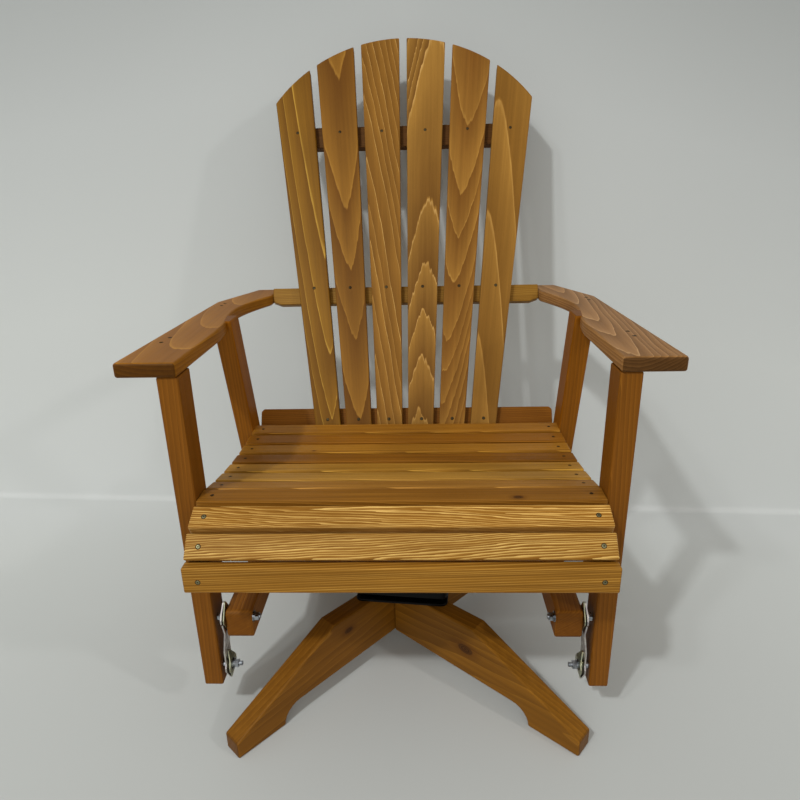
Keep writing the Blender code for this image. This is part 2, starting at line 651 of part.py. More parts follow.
def arm_outline():
    """The +X arm in plan: broad in front, waisted past the rear leg, then running in to the back."""
    c = ARM_CORNER
    tip = ARM_RAIL_HALF + FIT
    rail_y = BACK_Y + math.sin(RECLINE) * ARM_RAIL_AT
    points = arc((ARM_FRONT_OUTER_X - c, ARM_FRONT_Y + c), c, -90, 0, CORNER_STEPS)
    points += [(ARM_BEND_X, ARM_BEND_Y), (tip + ARM_TIP_WIDE, ARM_END_Y), (tip, ARM_END_Y)]
    points += [(tip, rail_y), (ARM_WAIST_X, ARM_WAIST_REAR_Y)]
    for i in range(WAIST_STEPS + 1):
        part = i / WAIST_STEPS
        narrowed = (1 + math.cos(math.pi * part)) / 2
        points.append((LEG_INNER_X + (ARM_WAIST_X - LEG_INNER_X) * narrowed,
                       ARM_WAIST_FRONT_Y + (ARM_WAIST_START_Y - ARM_WAIST_FRONT_Y) * part))
    return points + arc((LEG_INNER_X + c, ARM_FRONT_Y + c), c, 180, 270, CORNER_STEPS)


def build_arms(parent):
    for side, word in SIDES:
        outline = [(side * x, y) for x, y in arm_outline()]
        board(f"arm_{word}", outline, ARM_THICK, Matrix.Translation((0.0, 0.0, ARM_UNDER)),
              cedar(f"arm_{word}", PINK_CEDAR), parent)


# Chair: seat
def roll_point(tilt, depth=0.0):
    """(Y, Z) on the seat's front roll where the slope is tilt, depth below the slats' tops."""
    reach = SEAT_ROLL_RADIUS - depth
    return Vector((SEAT_ROLL_Y - reach * math.sin(tilt), SEAT_ROLL_Z + reach * math.cos(tilt)))


def scoop_point(tilt, depth=0.0):
    """(Y, Z) on the seat's scoop, which carries on from the roll without a kink."""
    join = roll_point(SEAT_JOIN_TILT)
    centre = join + SEAT_SCOOP_RADIUS * Vector((-math.sin(SEAT_JOIN_TILT), math.cos(SEAT_JOIN_TILT)))
    reach = SEAT_SCOOP_RADIUS + depth
    return centre + reach * Vector((math.sin(tilt), -math.cos(tilt)))


def slat_seats():
    """Each seat slat's middle on the curve of the tops, and its tilt, from front to rear."""
    seats = []
    to_join = (SEAT_CREST_TILT - SEAT_JOIN_TILT) * SEAT_ROLL_RADIUS
    for i in range(SEAT_SLATS):
        along = (i - SEAT_CREST_SLAT) * SEAT_PITCH
        if along <= to_join:
            tilt = SEAT_CREST_TILT - along / SEAT_ROLL_RADIUS
            seats.append((roll_point(tilt), tilt))
        else:
            tilt = SEAT_JOIN_TILT + (along - to_join) / SEAT_SCOOP_RADIUS
            seats.append((scoop_point(tilt), tilt))
    return seats


def side_outline():
    """Side view of a seat side: top under the slats, front behind the apron, rear cut to the back."""
    under = SLAT_THICK + FIT
    front = APRON_FACE_Y + SLAT_THICK + FIT
    steepest = math.asin(min(1.0, (SEAT_ROLL_Y - front) / (SEAT_ROLL_RADIUS - under)))
    top = []
    for i in range(ROLL_STEPS + 1):
        top.append(tuple(roll_point(steepest + (SEAT_JOIN_TILT - steepest) * i / ROLL_STEPS, under)))
    cut = BACK_ORIGIN + BACK_REARWARD * (SLAT_THICK - FIT)
    centre_y = scoop_point(0.0).x
    last = math.asin((cut.y - centre_y) / (SEAT_SCOOP_RADIUS + under))
    for i in range(1, SCOOP_STEPS + 1):
        top.append(tuple(scoop_point(SEAT_JOIN_TILT + (last - SEAT_JOIN_TILT) * i / SCOOP_STEPS, under)))
    last_z = top.pop()[1]
    rear = [(cut.y + (z - cut.z) * math.tan(RECLINE), z) for z in (last_z, SIDE_BOTTOM_REAR)]
    return [(front, SIDE_BOTTOM_FRONT)] + top + rear


def build_seat(parent):
    inner = LEG_INNER_X - FIT - POST_WIDE
    for side, word in SIDES:
        board(f"seat_side_{word}", side_outline(), POST_WIDE, side_frame(inner, side, POST_WIDE),
              cedar(f"seat_side_{word}"), parent, RAIL_EASE)
    size = (2 * SLAT_HALF, SLAT_WIDTH, SLAT_THICK)
    for i, (middle, tilt) in enumerate(slat_seats()):
        placed = (Matrix.Translation((0.0, middle.x, middle.y)) @ Matrix.Rotation(tilt, 4, "X")
                  @ Matrix.Translation((0.0, 0.0, -SLAT_THICK / 2)))
        stick(f"seat_slat_{i + 1:02d}", size, placed, cedar(f"seat_slat_{i + 1:02d}", PALE_CEDAR), parent)
    apron = (0.0, APRON_FACE_Y + SLAT_THICK / 2, APRON_TOP - SLAT_WIDTH / 2)
    stick("seat_apron", (2 * SLAT_HALF, SLAT_THICK, SLAT_WIDTH), Matrix.Translation(apron),
          cedar("seat_apron", PALE_CEDAR), parent)


# Chair: back
def fan_edge(angle, sign, reach):
    """A point on one edge of a slat that leans by angle, reach up its centre line from the focus."""
    half = sign * (FAN_SLAT_WIDTH + FAN_TAPER * (reach - FAN_FOCUS)) / 2
    return Vector((math.sin(angle) * reach + math.cos(angle) * half,
                   math.cos(angle) * reach - math.sin(angle) * half - FAN_FOCUS))


def arch_corner(angle, sign):
    """Where that edge meets the arch, found by halving."""
    low = FAN_FOCUS
    high = FAN_FOCUS + ARCH_CENTRE + 2 * ARCH_RADIUS
    arch = Vector((0.0, ARCH_CENTRE))
    for _ in range(HALVINGS):
        middle = (low + high) / 2
        if (fan_edge(angle, sign, middle) - arch).length < ARCH_RADIUS:
            low = middle
        else:
            high = middle
    return fan_edge(angle, sign, low)


def back_slat_outline(angle):
    """A slat in (X, up the slope): level foot, edges that spread, its share of the arch on top."""
    right = arch_corner(angle, 1)
    left = arch_corner(angle, -1)
    turns = [math.degrees(math.atan2(p.y - ARCH_CENTRE, p.x)) for p in (right, left)]
    top = arc((0.0, ARCH_CENTRE), ARCH_RADIUS, *turns, ARCH_STEPS)
    foot = (FAN_FOCUS + BACK_FOOT) / math.cos(angle)
    return [(fan_edge(angle, -1, foot).x, BACK_FOOT), (fan_edge(angle, 1, foot).x, BACK_FOOT)] + top


def rail_outline_behind(centre, half, wide, clip_low=(0.0, 0.0), clip_high=(0.0, 0.0)):
    """A rail in (X, up the slope); a clip is (along the rail, across it)."""
    low = centre - wide / 2
    high = centre + wide / 2
    right = [(half - clip_low[0], low), (half, low + clip_low[1]),
             (half, high - clip_high[1]), (half - clip_high[0], high)]
    if not clip_low[0]:
        right.pop(0)
    if not clip_high[0]:
        right.pop()
    return right + [(-x, v) for x, v in right[::-1]]


def build_back(parent):
    middle = (BACK_SLATS - 1) / 2
    for i in range(BACK_SLATS):
        board(f"back_slat_{i + 1}", back_slat_outline((i - middle) * FAN_STEP), SLAT_THICK,
              back_frame(0.0), cedar(f"back_slat_{i + 1}", PALE_CEDAR), parent, RAIL_EASE)
    behind = back_frame(SLAT_THICK + FIT)
    board("back_rail_top", rail_outline_behind(TOP_RAIL_AT, TOP_RAIL_HALF, TOP_RAIL_WIDE), SLAT_THICK,
          behind, cedar("back_rail_top"), parent, RAIL_EASE)
    board("back_rail_arm",
          rail_outline_behind(ARM_RAIL_AT, ARM_RAIL_HALF, ARM_RAIL_WIDE,
                              clip_low=(ARM_RAIL_CLIP_LONG, ARM_RAIL_CLIP_HIGH)),
          SLAT_THICK, behind, cedar("back_rail_arm"), parent, RAIL_EASE)
    board("back_rail_seat",
          rail_outline_behind(SEAT_RAIL_AT, SLAT_HALF, SEAT_RAIL_WIDE,
                              clip_high=(SEAT_RAIL_CLIP, SEAT_RAIL_CLIP)),
          SEAT_RAIL_THICK, behind, cedar("back_rail_seat"), parent, RAIL_EASE)


# Assembly
def bounds_of(collection):
    graph = bpy.context.evaluated_depsgraph_get()
    points = [obj.matrix_world @ vertex.co for obj in collection.objects
              for vertex in obj.evaluated_get(graph).data.vertices]
    low = Vector([min(p[axis] for p in points) for axis in range(3)])
    high = Vector([max(p[axis] for p in points) for axis in range(3)])
    return low, high


clear_scene()
CHAIR = new_collection("swivel_glider_chair")
TOOLS = new_collection("tools", hidden=True)
ROOT = empty("stand", (0.0, 0.0, 0.0))
SWIVEL_AXIS = empty("swivel_axis", (0.0, SWIVEL_Y, UPPER_PLATE_TOP), ROOT)
CHAIR_AXIS = empty("chair_axis", (-LINK_LOW_X, FRONT_PIVOT_Y, BOTTOM_PIVOT_Z), ROOT)

build_base()
build_glider_frame(SWIVEL_AXIS)
for side_sign, side_word in SIDES:
    for end_word, end_y in ENDS:
        corner_word = f"{end_word}_{side_word}"
        link_axis = empty(f"link_axis_{corner_word}", (side_sign * LINK_TOP_X, end_y, TOP_PIVOT_Z), ROOT)
        build_top_bolt(side_sign, corner_word, end_y, SWIVEL_AXIS)
        build_link(side_sign, corner_word, end_y, link_axis)
        build_bottom_bolt(side_sign, corner_word, end_y, CHAIR_AXIS)
build_legs(CHAIR_AXIS)
build_arms(CHAIR_AXIS)
build_seat(CHAIR_AXIS)
build_back(CHAIR_AXIS)

bpy.context.view_layer.update()
LOW, HIGH = bounds_of(CHAIR)
ROOT.location = (-(LOW.x + HIGH.x) / 2, -(LOW.y + HIGH.y) / 2, -LOW.z)
bpy.context.view_layer.update()
print(f"size {HIGH.x - LOW.x:.4f} x {HIGH.y - LOW.y:.4f} x {HIGH.z - LOW.z:.4f} m")
print(f"moved by {ROOT.location.x:.5f}, {ROOT.location.y:.5f}, {ROOT.location.z:.5f} m")
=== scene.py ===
"""The looks of the cedar swivel glider: stained wood, zinc-plated links, screws, studio and camera."""

import math

import bmesh
import bpy
from mathutils import Matrix, Vector


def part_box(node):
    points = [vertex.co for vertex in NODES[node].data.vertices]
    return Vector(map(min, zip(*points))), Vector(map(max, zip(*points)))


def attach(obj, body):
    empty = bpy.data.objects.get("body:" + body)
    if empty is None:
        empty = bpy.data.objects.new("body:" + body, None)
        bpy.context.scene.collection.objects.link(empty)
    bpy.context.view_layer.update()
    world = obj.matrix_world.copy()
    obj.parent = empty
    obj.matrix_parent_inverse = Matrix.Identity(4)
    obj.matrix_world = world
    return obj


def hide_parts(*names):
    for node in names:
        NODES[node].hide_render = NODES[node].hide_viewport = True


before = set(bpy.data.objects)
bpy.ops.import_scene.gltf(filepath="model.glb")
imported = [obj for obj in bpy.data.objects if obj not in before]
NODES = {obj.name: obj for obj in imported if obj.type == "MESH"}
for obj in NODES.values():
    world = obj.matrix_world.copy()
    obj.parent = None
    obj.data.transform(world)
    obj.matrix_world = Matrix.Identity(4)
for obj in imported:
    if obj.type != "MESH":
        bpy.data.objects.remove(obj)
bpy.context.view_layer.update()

X = Vector((1.0, 0.0, 0.0))
Y = Vector((0.0, 1.0, 0.0))
Z = Vector((0.0, 0.0, 1.0))

# The chair's own measures, repeated from its source: Y from the front legs' faces, Z from the floor
SHIFT = Vector((0.0, -0.37244, 0.0))
RECLINE = math.radians(28.0)
UP_BACK = Vector((0.0, math.sin(RECLINE), math.cos(RECLINE)))
REARWARD = Vector((0.0, math.cos(RECLINE), -math.sin(RECLINE)))
BACK_ORIGIN = Vector((0.0, 0.392, 0.425)) + SHIFT
FAN_STEP = math.radians(2.65)
FAN_FOCUS = 1.448
LEG_X, REAR_LEG_Y = 0.334, 0.46
REAR_RAKE = math.radians(15.6)
ARM_X, ARM_TOP, ARM_THICK = 0.36, 0.671, 0.023
ARM_SPLAY = 0.06
SIDE_X, SIDE_Z = 0.30, 0.37
RAIL_X, RAIL_Z = 0.278, 0.2045
CROSS_Y, CROSS_Z = 0.06, 0.2
SWIVEL = Vector((0.0, 0.2215, 0.0)) + SHIFT
BASE_TURN = math.radians(3.8)
BASE_SPREAD = math.radians(2.4)
BASE_Z, BASE_HALF = 0.08, 0.019

# Arms and rear legs that stand for their solids, with the waist and the height that the photograph shows
OUTER_X, INNER_X, FRONT_Y = 0.4095, 0.3175, -0.005
BEND_X, BEND_Y = 0.401, 0.462
TIP_X, TIP_WIDE, TIP_Y, END_Y = 0.2985, 0.049, 0.528, 0.610
WAIST_X, WAIST_Y, WAIST_START_Y = 0.338, 0.372, 0.195
WAIST_STEPS = 14
LEG_INNER, LEG_WIDE, LEG_LOW, LEG_HIGH = 0.316, 0.035, 0.080, 0.6705
REAR_FOOT_Y, REAR_DEEP = 0.4335, 0.0535
# The apron is a shade wider at each end, and higher so that the slit above it is thin
APRON_WIDER, APRON_HIGHER = 0.0025, 0.0042
ARM_EASE, LEG_EASE, APRON_EASE = 0.0045, 0.003, 0.0025

# Edges that turn by more than these angles: drawn sharp on the solids, eased on the shapes above
SHARP_ANGLE, EASED_ANGLE = math.radians(50), math.radians(25)


def srgb(code):
    """A colour written as hex, in the linear numbers that shaders take."""
    parts = [int(code[i:i + 2], 16) / 255 for i in (0, 2, 4)]
    return tuple(c / 12.92 if c <= 0.04045 else ((c + 0.055) / 1.055) ** 2.4 for c in parts) + (1.0,)


class Graph:
    """Shorthand for building a node tree; a value may be a number, a tuple or another socket."""

    def __init__(self, tree):
        self.tree = tree

    def add(self, kind, feeds=None, **settings):
        node = self.tree.nodes.new(kind)
        for name, value in settings.items():
            setattr(node, name, value)
        for key, value in (feeds or {}).items():
            self.feed(node.inputs[key], value)
        return node

    def feed(self, socket, value):
        if isinstance(value, bpy.types.NodeSocket):
            self.tree.links.new(value, socket)
        else:
            socket.default_value = value

    def math(self, operation, a, b=0.0):
        return self.add("ShaderNodeMath", {0: a, 1: b}, operation=operation).outputs[0]

    def plus(self, a, b):
        return self.math("ADD", a, b)

    def minus(self, a, b):
        return self.math("SUBTRACT", a, b)

    def times(self, a, b):
        return self.math("MULTIPLY", a, b)

    def over(self, a, b):
        return self.math("DIVIDE", a, b)

    def vector(self, operation, a, b):
        return self.add("ShaderNodeVectorMath", {0: a, 1: b}, operation=operation).outputs["Vector"]

    def dot(self, a, b):
        return self.add("ShaderNodeVectorMath", {0: a, 1: b}, operation="DOT_PRODUCT").outputs["Value"]

    def noise(self, where, scale, detail=2.0, roughness=0.5):
        """Noise from 0 to 1, centred on one half, its grain stretched by scale."""
        stretched = self.vector("MULTIPLY", where, scale)
        node = self.add("ShaderNodeTexNoise", {"Vector": stretched, "Scale": 1.0, "Detail": detail,
                                               "Roughness": roughness})
        return node.outputs["Fac"]

    def swing(self, where, scale, detail, width):
        """Noise about zero, as wide as asked."""
        return self.times(self.minus(self.noise(where, scale, detail), 0.5), width)

    def spread(self, value, low, high, to_low=0.0, to_high=1.0, smooth=False):
        """A value's place between low and high, carried over to another span."""
        node = self.add("ShaderNodeMapRange", {"Value": value, "From Min": low, "From Max": high,
                                               "To Min": to_low, "To Max": to_high})
        if smooth:
            node.interpolation_type = "SMOOTHSTEP"
        return node.outputs["Result"]

    def mix_value(self, share, a, b):
        return self.add("ShaderNodeMix", {0: share, 2: a, 3: b}).outputs[0]

    def mix(self, share, a, b, blend="MIX"):
        node = self.add("ShaderNodeMix", data_type="RGBA", blend_type=blend)
        self.feed(node.inputs[0], share)
        self.feed(node.inputs[6], a)
        self.feed(node.inputs[7], b)
        return node.outputs[2]

    def ramp(self, value, stops):
        """A colour ramp with the given stops: where each lies and its colour."""
        node = self.add("ShaderNodeValToRGB", {"Fac": value})
        while len(node.color_ramp.elements) < len(stops):
            node.color_ramp.elements.new(0.5)
        for element, (at, colour) in zip(node.color_ramp.elements, stops):
            element.position = at
            element.color = colour
        return node.outputs["Color"]


def new_material(name):
    """An empty material, and the graph to fill it with."""
    made = bpy.data.materials.new(name)
    made.use_nodes = True
    made.node_tree.nodes.clear()
    return made, Graph(made.node_tree)


def end_material(g, surface):
    g.feed(g.add("ShaderNodeOutputMaterial").inputs["Surface"], surface)


# Cedar: arched growth lines left by the saw, under a golden-brown stain. Lengths are in metres
FIGURE_NUMBERS = (
    ("Crown", 0.0),         # where the arches' tips lie across the board
    ("Crown Drift", 0.0),   # how far the tips move across for each metre along
    ("Steep Right", 0.06),  # how far a line has run along the board 20 mm to the right of its tip
    ("Steep Left", 0.06),
    ("Power", 1.4),         # 1 for straight-sided arches, 2 for round ones
    ("Way", 1.0),           # 1 when the tips point back along the grain's direction, -1 when forward
    ("Sink", 24.0),         # how far a line runs along for each metre into the board
    ("Wave", 0.004),        # long waves of the lines, across the board
    ("Jag", 0.012),         # short jags of the lines, along the board
    ("Seed", 0.0),
    ("Knot Along", 9.0),    # far off the board unless a board has a knot
    ("Knot Across", 0.0),
    ("Knot Size", 0.006),
)
CEDAR_NUMBERS = (
    ("Seed", 0.0),
    ("Line", 0.6),          # how strong the pale lines are
    ("Streak", 0.5),        # how strong the bands along the grain are
    ("Tone", 1.0),          # how far the tone runs from dark to light between two lines
    ("Ripple", 0.0),        # how unevenly the lines are spaced
    ("End Shade", 0.62),    # brightness of the sawn ends
    ("Rim", 0.075),         # width of a pale line, as a share of the spacing
)
CEDAR_COLOURS = (("Dark", "7A4C1B"), ("Light", "9C6C31"), ("Pale", "C29654"))
STEEP_WIDTH = 0.020
KNOT_STRETCH = 0.55
SWIRL, SWIRL_FADE = 12.0, 0.4
SPACING, RIPPLE = 0.16, 1.1
RING_LEVELS = ((0.0, 0.95), (0.10, 0.82), (0.40, 0.52), (0.75, 0.28), (0.98, 0.10), (1.0, 0.95))
MIDDLE_TONE = 0.42
KNOT_HALO, KNOT_HEART = "5A300A", "341906"


def new_group(name, inputs, outputs):
    """A node group with the named sockets; returns its graph and the sockets of what it is given."""
    tree = bpy.data.node_groups.new(name, "ShaderNodeTree")
    for (label, kind), way in [(s, "INPUT") for s in inputs] + [(s, "OUTPUT") for s in outputs]:
        tree.interface.new_socket(name=label, in_out=way, socket_type=f"NodeSocket{kind}")
    g = Graph(tree)
    return g, g.add("NodeGroupInput").outputs


def end_group(g, **values):
    out = g.add("NodeGroupOutput")
    for name, value in values.items():
        g.feed(out.inputs[name], value)
    return g.tree


def seeded(g, given):
    """The place on the board, moved by the board's own seed so that no two boards share a pattern."""
    offset = g.add("ShaderNodeCombineXYZ", {0: g.times(given["Seed"], 3.71),
                                            1: g.times(given["Seed"], 1.37),
                                            2: g.times(given["Seed"], 2.13)}).outputs[0]
    return g.vector("ADD", given["Place"], offset)


def build_figure_group():
    """How far along the board's centre the growth line through a point would reach."""
    g, given = new_group("cedar figure",
                         [("Place", "Vector")] + [(name, "Float") for name, _ in FIGURE_NUMBERS],
                         [("Reach", "Float"), ("Knot", "Float")])
    split = g.add("ShaderNodeSeparateXYZ", {0: given["Place"]}).outputs
    along, across, out = split[0], split[1], split[2]
    place = seeded(g, given)
    wave = g.swing(place, (4.5, 22.0, 22.0), 1.5, given["Wave"])
    jag = g.swing(place, (14.0, 170.0, 170.0), 2.0, given["Jag"])
    crown = g.plus(given["Crown"], g.times(along, given["Crown Drift"]))
    side = g.minus(g.plus(across, wave), crown)
    right = g.math("LESS_THAN", side, 0.0)
    more = g.minus(given["Steep Right"], given["Steep Left"])
    steep = g.plus(given["Steep Left"], g.times(right, more))
    bow = g.times(steep, g.math("POWER", g.times(g.math("ABSOLUTE", side), 1.0 / STEEP_WIDTH),
                                given["Power"]))
    knot_u = g.times(g.minus(along, given["Knot Along"]), KNOT_STRETCH)
    knot_v = g.minus(across, given["Knot Across"])
    knot_far = g.math("SQRT", g.plus(g.times(knot_u, knot_u), g.times(knot_v, knot_v)))
    knot = g.over(knot_far, given["Knot Size"])
    swirl = g.over(g.times(given["Knot Size"], SWIRL),
                   g.plus(1.0, g.times(g.times(knot, knot), SWIRL_FADE)))
    reach = g.minus(g.times(along, given["Way"]), bow)
    reach = g.plus(reach, g.times(out, given["Sink"]))
    reach = g.plus(reach, g.plus(jag, swirl))
    return end_group(g, Reach=reach, Knot=knot)


def build_cedar_group():
    """Stained cedar's colour, roughness and height from a growth line's number and the place."""
    g, given = new_group("cedar",
                         [("Place", "Vector"), ("Phase", "Float"), ("Knot", "Float"), ("End", "Float")]
                         + [(name, "Float") for name, _ in CEDAR_NUMBERS]
                         + [(name, "Color") for name, _ in CEDAR_COLOURS],
                         [("Color", "Color"), ("Roughness", "Float"), ("Height", "Float")])
    place = seeded(g, given)
    uneven = g.add("ShaderNodeTexNoise", {"W": g.plus(g.times(given["Phase"], 0.31), given["Seed"]),
                                          "Scale": 1.0, "Detail": 1.0},
                   noise_dimensions="1D").outputs["Fac"]
    phase = g.plus(given["Phase"], g.times(g.minus(uneven, 0.5), given["Ripple"]))
    turn = g.math("FRACT", phase)
    number = g.plus(g.math("FLOOR", phase), g.times(given["Seed"], 7.3))
    white = g.add("ShaderNodeTexWhiteNoise", {"W": number}, noise_dimensions="1D").outputs["Color"]
    chance = g.add("ShaderNodeSeparateColor", {0: white}).outputs
    tone = g.ramp(turn, [(at, (level, level, level, 1.0)) for at, level in RING_LEVELS])
    tone = g.times(tone, g.spread(chance[0], 0.0, 1.0, 0.70, 1.15))
    tone = g.plus(MIDDLE_TONE, g.times(g.minus(tone, MIDDLE_TONE), given["Tone"]))
    edge = g.spread(turn, given["Rim"], g.times(given["Rim"], 0.16), smooth=True)
    rim = g.times(edge, g.times(given["Line"], g.spread(chance[1], 0.0, 1.0, 0.45, 1.1)))
    rim = g.times(rim, g.spread(g.noise(place, (9.0, 60.0, 60.0), 1.0), 0.3, 0.62, 0.45, 1.0))

    fibre = g.noise(place, (7.0, 1100.0, 1100.0), 2.0, 0.6)
    band = g.noise(place, (1.7, 150.0, 150.0), 2.0)
    blotch = g.noise(place, (5.0, 13.0, 13.0), 2.0)
    dash = g.noise(place, (60.0, 1500.0, 1500.0), 1.0)
    colour = g.mix(tone, given["Dark"], given["Light"])
    colour = g.mix(rim, colour, given["Pale"])
    level = g.plus(1.0, g.times(g.minus(band, 0.5), g.times(given["Streak"], 0.85)))
    level = g.times(level, g.spread(fibre, 0.25, 0.75, 0.92, 1.08))
    level = g.times(level, g.spread(blotch, 0.25, 0.75, 0.88, 1.11))
    level = g.times(level, g.spread(dash, 0.60, 0.74, 1.0, 0.88))
    end = g.spread(given["End"], 0.45, 0.85, smooth=True)
    level = g.times(level, g.mix_value(end, 1.0, given["End Shade"]))
    shade = g.add("ShaderNodeCombineColor", {0: level, 1: g.math("POWER", level, 1.12),
                                             2: g.math("POWER", level, 1.3)}).outputs[0]
    colour = g.mix(1.0, colour, shade, "MULTIPLY")
    heart = g.spread(given["Knot"], 1.25, 0.7, smooth=True)
    knot_rings = g.spread(g.math("SINE", g.times(given["Knot"], 16.0)), -1.0, 1.0, 0.55, 0.95)
    halo = g.spread(given["Knot"], 2.6, 1.0, 0.0, 0.45, smooth=True)
    colour = g.mix(halo, colour, srgb(KNOT_HALO))
    colour = g.mix(g.times(heart, knot_rings), colour, srgb(KNOT_HEART))
    gloss = g.plus(g.spread(fibre, 0.2, 0.8, 0.44, 0.56), g.times(tone, -0.04))
    height = g.plus(g.times(fibre, 0.6), g.times(tone, 0.9))
    return end_group(g, Color=colour, Roughness=gloss, Height=height)


FIGURE = build_figure_group()
CEDAR = build_cedar_group()


def numbered(g, reach, tips):
    """Numbers the growth lines whose tips lie at uneven distances, with even ones beyond both ends."""
    gap = (tips[-1] - tips[0]) / (len(tips) - 1)
    extra = 7
    stops = ([tips[0] - gap * k for k in range(extra, 0, -1)] + list(tips)
             + [tips[-1] + gap * k for k in range(1, extra + 1)])
    span = stops[-1] - stops[0]
    curve = g.add("ShaderNodeFloatCurve", {"Value": g.over(g.minus(reach, stops[0]), span)})
    points = curve.mapping.curves[0].points
    while len(points) < len(stops):
        points.new(0.5, 0.5)
    for k, (point, stop) in enumerate(zip(points, stops)):
        point.location = ((stop - stops[0]) / span, k / (len(stops) - 1))
        point.handle_type = "VECTOR"
    curve.mapping.update()
    return g.times(curve.outputs[0], float(len(stops) - 1))


def cedar(name, origin, grain, face, **looks):
    """Cedar for one board: a point on its best face, the grain's direction, where that face looks."""
    made, g = new_material(f"cedar_{name}")
    grain = grain.normalized()
    across = face.cross(grain).normalized()
    turn = Matrix((grain, across, grain.cross(across))).transposed()
    source = g.add("ShaderNodeTexCoord")
    local = g.add("ShaderNodeMapping", {"Vector": source.outputs["Object"], "Location": origin,
                                        "Rotation": turn.to_euler()}, vector_type="TEXTURE").outputs[0]
    figure = g.add("ShaderNodeGroup", {}, node_tree=FIGURE)
    group = g.add("ShaderNodeGroup", {}, node_tree=CEDAR)
    for node, numbers in ((figure, FIGURE_NUMBERS), (group, CEDAR_NUMBERS)):
        g.feed(node.inputs["Place"], local)
        for key, value in numbers:
            node.inputs[key].default_value = looks.get(key.lower().replace(" ", "_"), value)
    for key, value in CEDAR_COLOURS:
        group.inputs[key].default_value = srgb(looks.get(key.lower(), value))
    reach = figure.outputs["Reach"]
    if "tips" in looks:
        g.feed(group.inputs["Phase"], numbered(g, reach, looks["tips"]))
    else:
        g.feed(group.inputs["Phase"], g.over(reach, looks.get("spacing", SPACING)))
        group.inputs["Ripple"].default_value = looks.get("ripple", RIPPLE)
    g.feed(group.inputs["Knot"], figure.outputs["Knot"])
    g.feed(group.inputs["End"], g.math("ABSOLUTE", g.dot(source.outputs["Normal"], grain)))
    bump = g.add("ShaderNodeBump", {"Height": group.outputs["Height"], "Strength": 0.3,
                                    "Distance": 0.0004})
    shader = g.add("ShaderNodeBsdfPrincipled", {"Base Color": group.outputs["Color"],
                                                "Roughness": group.outputs["Roughness"],
                                                "Normal": bump.outputs[0], "IOR": 1.45,
                                                "Specular IOR Level": 0.22,
                                                "Specular Tint": (1.0, 0.80, 0.50, 1.0)})
    end_material(g, shader.outputs[0])
    return made


def zinc(name, tint, roughness, patina_and_reflection):
    """Zinc plating: a metal, cloudy in tint and gloss, with a second colour in patches: a passivation
    colour, and on the bright zinc dark patches of painted reflection.
    """
    made, g = new_material(f"zinc_{name}")
    place = g.add("ShaderNodeTexCoord").outputs["Object"]
    cloud = g.noise(place, (90.0, 90.0, 90.0), 3.0)
    speck = g.noise(place, (900.0, 900.0, 900.0), 2.0)
    colour = g.mix(g.spread(cloud, 0.40, 0.66, 0.0, 0.8), srgb(tint), srgb(patina_and_reflection))
    rough = g.plus(g.spread(cloud, 0.3, 0.7, roughness - 0.06, roughness + 0.10),
                   g.spread(speck, 0.3, 0.7, -0.03, 0.05))
    bump = g.add("ShaderNodeBump", {"Height": speck, "Strength": 0.12, "Distance": 0.0001})
    shader = g.add("ShaderNodeBsdfPrincipled", {"Base Color": colour, "Roughness": rough,
                                                "Normal": bump.outputs[0], "Metallic": 1.0})
    end_material(g, shader.outputs[0])
    return made


def paint(name, colour, roughness, grain, worn):
    """A matt coat with a faint orange-peel surface, worn to another colour in patches."""
    made, g = new_material(name)
    place = g.add("ShaderNodeTexCoord").outputs["Object"]
    peel = g.noise(place, (grain, grain, grain), 2.0)
    dust = g.noise(place, (40.0, 40.0, 40.0), 4.0, 0.7)
    shade = g.mix(g.spread(dust, 0.45, 0.75, 0.0, 0.5), srgb(colour), srgb(worn))
    rough = g.spread(dust, 0.3, 0.7, roughness - 0.08, roughness + 0.1)
    bump = g.add("ShaderNodeBump", {"Height": peel, "Strength": 0.2, "Distance": 0.0003})
    shader = g.add("ShaderNodeBsdfPrincipled", {"Base Color": shade, "Roughness": rough,
                                                "Normal": bump.outputs[0],
                                                "Specular IOR Level": 0.14})
    end_material(g, shader.outputs[0])
    return made


def dress(name, finish):
    """Gives a CAD node its finish and lets its eased edges catch the light smoothly."""
    node = NODES[name]
    node.data.materials.clear()
    node.data.materials.append(finish)
    for polygon in node.data.polygons:
        polygon.material_index = 0
        polygon.use_smooth = True
    node.data.set_sharp_from_angle(angle=SHARP_ANGLE)
    even = node.modifiers.new("even normals", "WEIGHTED_NORMAL")
    even.keep_sharp = True
    even.weight = 90


def board(name, origin, grain, face, **looks):
    """Dresses a board in cedar of its own."""
    dress(name, cedar(name, origin, grain, face, **looks))


def flat_face(name, direction):
    """The plane of a node's largest face that looks in a direction: a point on it, and its normal."""
    mesh = NODES[name].data
    best = max(mesh.polygons, key=lambda p: p.area * max(0.0, p.normal.dot(direction)) ** 3)
    low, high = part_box(name)
    middle = (Vector(low) + Vector(high)) / 2
    normal = best.normal.copy()
    return middle - normal * (middle - best.center).dot(normal), normal


